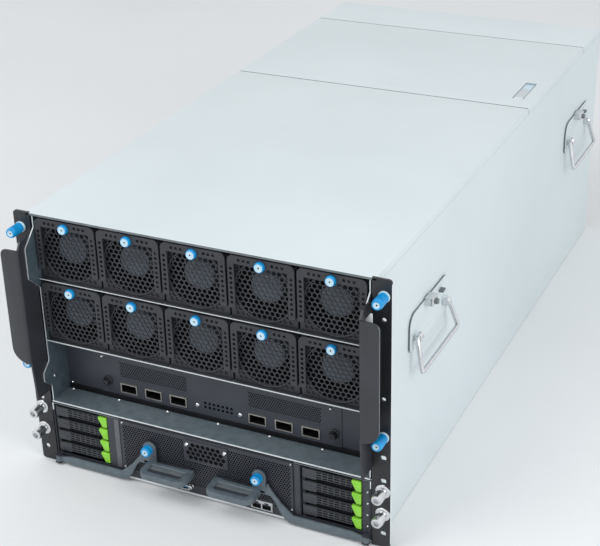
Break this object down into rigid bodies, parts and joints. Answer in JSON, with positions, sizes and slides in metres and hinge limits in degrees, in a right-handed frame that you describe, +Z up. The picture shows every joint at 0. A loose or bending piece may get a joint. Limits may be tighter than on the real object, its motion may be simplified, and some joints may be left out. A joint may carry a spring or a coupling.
{
  "type": "gpu server",
  "caption": "Tall rack server: sliding accelerator tray behind a wall of fan modules, lower sled with drives and levers, rack ears, side bails, covers with a latch.",
  "frame": {"origin": "centre of the shell's underside: mid width, mid depth, bottom face", "axes": "+X to the right seen from the front, +Y back into the rack, +Z up"},
  "size_m": [0.4878, 0.997, 0.351],
  "materials": {
    "shell_paint": "satin",
    "dark_paint": "satin",
    "tray_steel": "satin",
    "bright_steel": "brushed",
    "blue_plastic": "gloss",
    "fan_plastic": "matte",
    "alloy": "satin",
    "bezel_plastic": "matte"
  },
  "bodies": {
    "chassis": {"chassis_shell": "shell_paint", "front_top_cover": "shell_paint", "middle_top_cover": "shell_paint", "rear_top_cover": "shell_paint", "rack_ears": "dark_paint", "rack_screws": "bright_steel", "ear_thumbscrews": "blue_plastic", "handle_brackets": "shell_paint", "rear_panel": "shell_paint", "power_supplies": "alloy"},
    "gpu_tray": {"gpu_tray": "tray_steel", "tray_handles": "tray_steel", "io_panel": "dark_paint", "port_cages": "bright_steel", "gpu_board": "alloy"},
    "node_tray": {"node_tray": "dark_paint", "node_face": "dark_paint"},
    "node_lever_left": {"node_lever_left": "tray_steel"},
    "node_lever_right": {"node_lever_right": "tray_steel"},
    "cover_latch": {"cover_latch": "blue_plastic"},
    "bail_front_left": {"bail_front_left": "bright_steel"},
    "bail_front_right": {"bail_front_right": "bright_steel"},
    "bail_rear_left": {"bail_rear_left": "bright_steel"},
    "bail_rear_right": {"bail_rear_right": "bright_steel"},
    "fan_01": {"fan_module_01": "fan_plastic"},
    "rotor_01": {"fan_rotor_01": "fan_plastic"},
    "fan_02": {"fan_module_02": "fan_plastic"},
    "rotor_02": {"fan_rotor_02": "fan_plastic"},
    "fan_03": {"fan_module_03": "fan_plastic"},
    "rotor_03": {"fan_rotor_03": "fan_plastic"},
    "fan_04": {"fan_module_04": "fan_plastic"},
    "rotor_04": {"fan_rotor_04": "fan_plastic"},
    "fan_05": {"fan_module_05": "fan_plastic"},
    "rotor_05": {"fan_rotor_05": "fan_plastic"},
    "fan_06": {"fan_module_06": "fan_plastic"},
    "rotor_06": {"fan_rotor_06": "fan_plastic"},
    "fan_07": {"fan_module_07": "fan_plastic"},
    "rotor_07": {"fan_rotor_07": "fan_plastic"},
    "fan_08": {"fan_module_08": "fan_plastic"},
    "rotor_08": {"fan_rotor_08": "fan_plastic"},
    "fan_09": {"fan_module_09": "fan_plastic"},
    "rotor_09": {"fan_rotor_09": "fan_plastic"},
    "fan_10": {"fan_module_10": "fan_plastic"},
    "rotor_10": {"fan_rotor_10": "fan_plastic"},
    "drive_1": {"drive_carrier_1": "alloy"},
    "drive_lever_1": {"drive_lever_1": "bezel_plastic"},
    "drive_2": {"drive_carrier_2": "alloy"},
    "drive_lever_2": {"drive_lever_2": "bezel_plastic"},
    "drive_3": {"drive_carrier_3": "alloy"},
    "drive_lever_3": {"drive_lever_3": "bezel_plastic"},
    "drive_4": {"drive_carrier_4": "alloy"},
    "drive_lever_4": {"drive_lever_4": "bezel_plastic"},
    "drive_5": {"drive_carrier_5": "alloy"},
    "drive_lever_5": {"drive_lever_5": "bezel_plastic"},
    "drive_6": {"drive_carrier_6": "alloy"},
    "drive_lever_6": {"drive_lever_6": "bezel_plastic"},
    "drive_7": {"drive_carrier_7": "alloy"},
    "drive_lever_7": {"drive_lever_7": "bezel_plastic"},
    "drive_8": {"drive_carrier_8": "alloy"},
    "drive_lever_8": {"drive_lever_8": "bezel_plastic"}
  },
  "joints": [
    {"name": "gpu_tray_slide", "type": "slide", "parent": "chassis", "child": "gpu_tray", "axis": [0, -1, 0], "range_m": [0, 0.45]},
    {"name": "node_tray_slide", "type": "slide", "parent": "chassis", "child": "node_tray", "axis": [0, -1, 0], "range_m": [0, 0.45]},
    {"name": "node_lever_left_swing", "type": "hinge", "parent": "node_tray", "child": "node_lever_left", "pos_m": [-0.213, -0.4765, 0.0081], "axis": [0, 0, -1], "range_deg": [0, 20]},
    {"name": "node_lever_right_swing", "type": "hinge", "parent": "node_tray", "child": "node_lever_right", "pos_m": [0.213, -0.4765, 0.0081], "axis": [0, 0, 1], "range_deg": [0, 20]},
    {"name": "cover_latch_lift", "type": "hinge", "parent": "chassis", "child": "cover_latch", "pos_m": [0.19725, 0.1158, 0.3481], "axis": [1, 0, 0], "range_deg": [0, 60]},
    {"name": "bail_front_left_swing", "type": "hinge", "parent": "chassis", "child": "bail_front_left", "pos_m": [-0.2305, -0.3105, 0.222], "axis": [0, 1, 0], "range_deg": [0, 75]},
    {"name": "bail_front_right_swing", "type": "hinge", "parent": "chassis", "child": "bail_front_right", "pos_m": [0.2305, -0.3105, 0.222], "axis": [0, -1, 0], "range_deg": [0, 75]},
    {"name": "bail_rear_left_swing", "type": "hinge", "parent": "chassis", "child": "bail_rear_left", "pos_m": [-0.2305, 0.3505, 0.222], "axis": [0, 1, 0], "range_deg": [0, 75]},
    {"name": "bail_rear_right_swing", "type": "hinge", "parent": "chassis", "child": "bail_rear_right", "pos_m": [0.2305, 0.3505, 0.222], "axis": [0, -1, 0], "range_deg": [0, 75]},
    {"name": "fan_01_slide", "type": "slide", "parent": "gpu_tray", "child": "fan_01", "axis": [0, -1, 0], "range_m": [0, 0.075]},
    {"name": "rotor_01_spin", "type": "hinge", "parent": "fan_01", "child": "rotor_01", "pos_m": [-0.1712, -0.4325, 0.3058], "axis": [0, 1, 0], "continuous": true},
    {"name": "fan_02_slide", "type": "slide", "parent": "gpu_tray", "child": "fan_02", "axis": [0, -1, 0], "range_m": [0, 0.075]},
    {"name": "rotor_02_spin", "type": "hinge", "parent": "fan_02", "child": "rotor_02", "pos_m": [-0.0856, -0.4325, 0.3058], "axis": [0, 1, 0], "continuous": true},
    {"name": "fan_03_slide", "type": "slide", "parent": "gpu_tray", "child": "fan_03", "axis": [0, -1, 0], "range_m": [0, 0.075]},
    {"name": "rotor_03_spin", "type": "hinge", "parent": "fan_03", "child": "rotor_03", "pos_m": [0, -0.4325, 0.3058], "axis": [0, 1, 0], "continuous": true},
    {"name": "fan_04_slide", "type": "slide", "parent": "gpu_tray", "child": "fan_04", "axis": [0, -1, 0], "range_m": [0, 0.075]},
    {"name": "rotor_04_spin", "type": "hinge", "parent": "fan_04", "child": "rotor_04", "pos_m": [0.0856, -0.4325, 0.3058], "axis": [0, 1, 0], "continuous": true},
    {"name": "fan_05_slide", "type": "slide", "parent": "gpu_tray", "child": "fan_05", "axis": [0, -1, 0], "range_m": [0, 0.075]},
    {"name": "rotor_05_spin", "type": "hinge", "parent": "fan_05", "child": "rotor_05", "pos_m": [0.1712, -0.4325, 0.3058], "axis": [0, 1, 0], "continuous": true},
    {"name": "fan_06_slide", "type": "slide", "parent": "gpu_tray", "child": "fan_06", "axis": [0, -1, 0], "range_m": [0, 0.075]},
    {"name": "rotor_06_spin", "type": "hinge", "parent": "fan_06", "child": "rotor_06", "pos_m": [-0.1712, -0.4325, 0.2208], "axis": [0, 1, 0], "continuous": true},
    {"name": "fan_07_slide", "type": "slide", "parent": "gpu_tray", "child": "fan_07", "axis": [0, -1, 0], "range_m": [0, 0.075]},
    {"name": "rotor_07_spin", "type": "hinge", "parent": "fan_07", "child": "rotor_07", "pos_m": [-0.0856, -0.4325, 0.2208], "axis": [0, 1, 0], "continuous": true},
    {"name": "fan_08_slide", "type": "slide", "parent": "gpu_tray", "child": "fan_08", "axis": [0, -1, 0], "range_m": [0, 0.075]},
    {"name": "rotor_08_spin", "type": "hinge", "parent": "fan_08", "child": "rotor_08", "pos_m": [0, -0.4325, 0.2208], "axis": [0, 1, 0], "continuous": true},
    {"name": "fan_09_slide", "type": "slide", "parent": "gpu_tray", "child": "fan_09", "axis": [0, -1, 0], "range_m": [0, 0.075]},
    {"name": "rotor_09_spin", "type": "hinge", "parent": "fan_09", "child": "rotor_09", "pos_m": [0.0856, -0.4325, 0.2208], "axis": [0, 1, 0], "continuous": true},
    {"name": "fan_10_slide", "type": "slide", "parent": "gpu_tray", "child": "fan_10", "axis": [0, -1, 0], "range_m": [0, 0.075]},
    {"name": "rotor_10_spin", "type": "hinge", "parent": "fan_10", "child": "rotor_10", "pos_m": [0.1712, -0.4325, 0.2208], "axis": [0, 1, 0], "continuous": true},
    {"name": "drive_1_slide", "type": "slide", "parent": "node_tray", "child": "drive_1", "axis": [0, -1, 0], "range_m": [0, 0.095]},
    {"name": "drive_lever_1_swing", "type": "hinge", "parent": "drive_1", "child": "drive_lever_1", "pos_m": [-0.2126, -0.4688, 0.0756], "axis": [0, 0, -1], "range_deg": [0, 70]},
    {"name": "drive_2_slide", "type": "slide", "parent": "node_tray", "child": "drive_2", "axis": [0, -1, 0], "range_m": [0, 0.095]},
    {"name": "drive_lever_2_swing", "type": "hinge", "parent": "drive_2", "child": "drive_lever_2", "pos_m": [-0.2126, -0.4688, 0.058], "axis": [0, 0, -1], "range_deg": [0, 70]},
    {"name": "drive_3_slide", "type": "slide", "parent": "node_tray", "child": "drive_3", "axis": [0, -1, 0], "range_m": [0, 0.095]},
    {"name": "drive_lever_3_swing", "type": "hinge", "parent": "drive_3", "child": "drive_lever_3", "pos_m": [-0.2126, -0.4688, 0.0404], "axis": [0, 0, -1], "range_deg": [0, 70]},
    {"name": "drive_4_slide", "type": "slide", "parent": "node_tray", "child": "drive_4", "axis": [0, -1, 0], "range_m": [0, 0.095]},
    {"name": "drive_lever_4_swing", "type": "hinge", "parent": "drive_4", "child": "drive_lever_4", "pos_m": [-0.2126, -0.4688, 0.0228], "axis": [0, 0, -1], "range_deg": [0, 70]},
    {"name": "drive_5_slide", "type": "slide", "parent": "node_tray", "child": "drive_5", "axis": [0, -1, 0], "range_m": [0, 0.095]},
    {"name": "drive_lever_5_swing", "type": "hinge", "parent": "drive_5", "child": "drive_lever_5", "pos_m": [0.1312, -0.4688, 0.0756], "axis": [0, 0, -1], "range_deg": [0, 70]},
    {"name": "drive_6_slide", "type": "slide", "parent": "node_tray", "child": "drive_6", "axis": [0, -1, 0], "range_m": [0, 0.095]},
    {"name": "drive_lever_6_swing", "type": "hinge", "parent": "drive_6", "child": "drive_lever_6", "pos_m": [0.1312, -0.4688, 0.058], "axis": [0, 0, -1], "range_deg": [0, 70]},
    {"name": "drive_7_slide", "type": "slide", "parent": "node_tray", "child": "drive_7", "axis": [0, -1, 0], "range_m": [0, 0.095]},
    {"name": "drive_lever_7_swing", "type": "hinge", "parent": "drive_7", "child": "drive_lever_7", "pos_m": [0.1312, -0.4688, 0.0404], "axis": [0, 0, -1], "range_deg": [0, 70]},
    {"name": "drive_8_slide", "type": "slide", "parent": "node_tray", "child": "drive_8", "axis": [0, -1, 0], "range_m": [0, 0.095]},
    {"name": "drive_lever_8_swing", "type": "hinge", "parent": "drive_8", "child": "drive_lever_8", "pos_m": [0.1312, -0.4688, 0.0228], "axis": [0, 0, -1], "range_deg": [0, 70]}
  ]
}
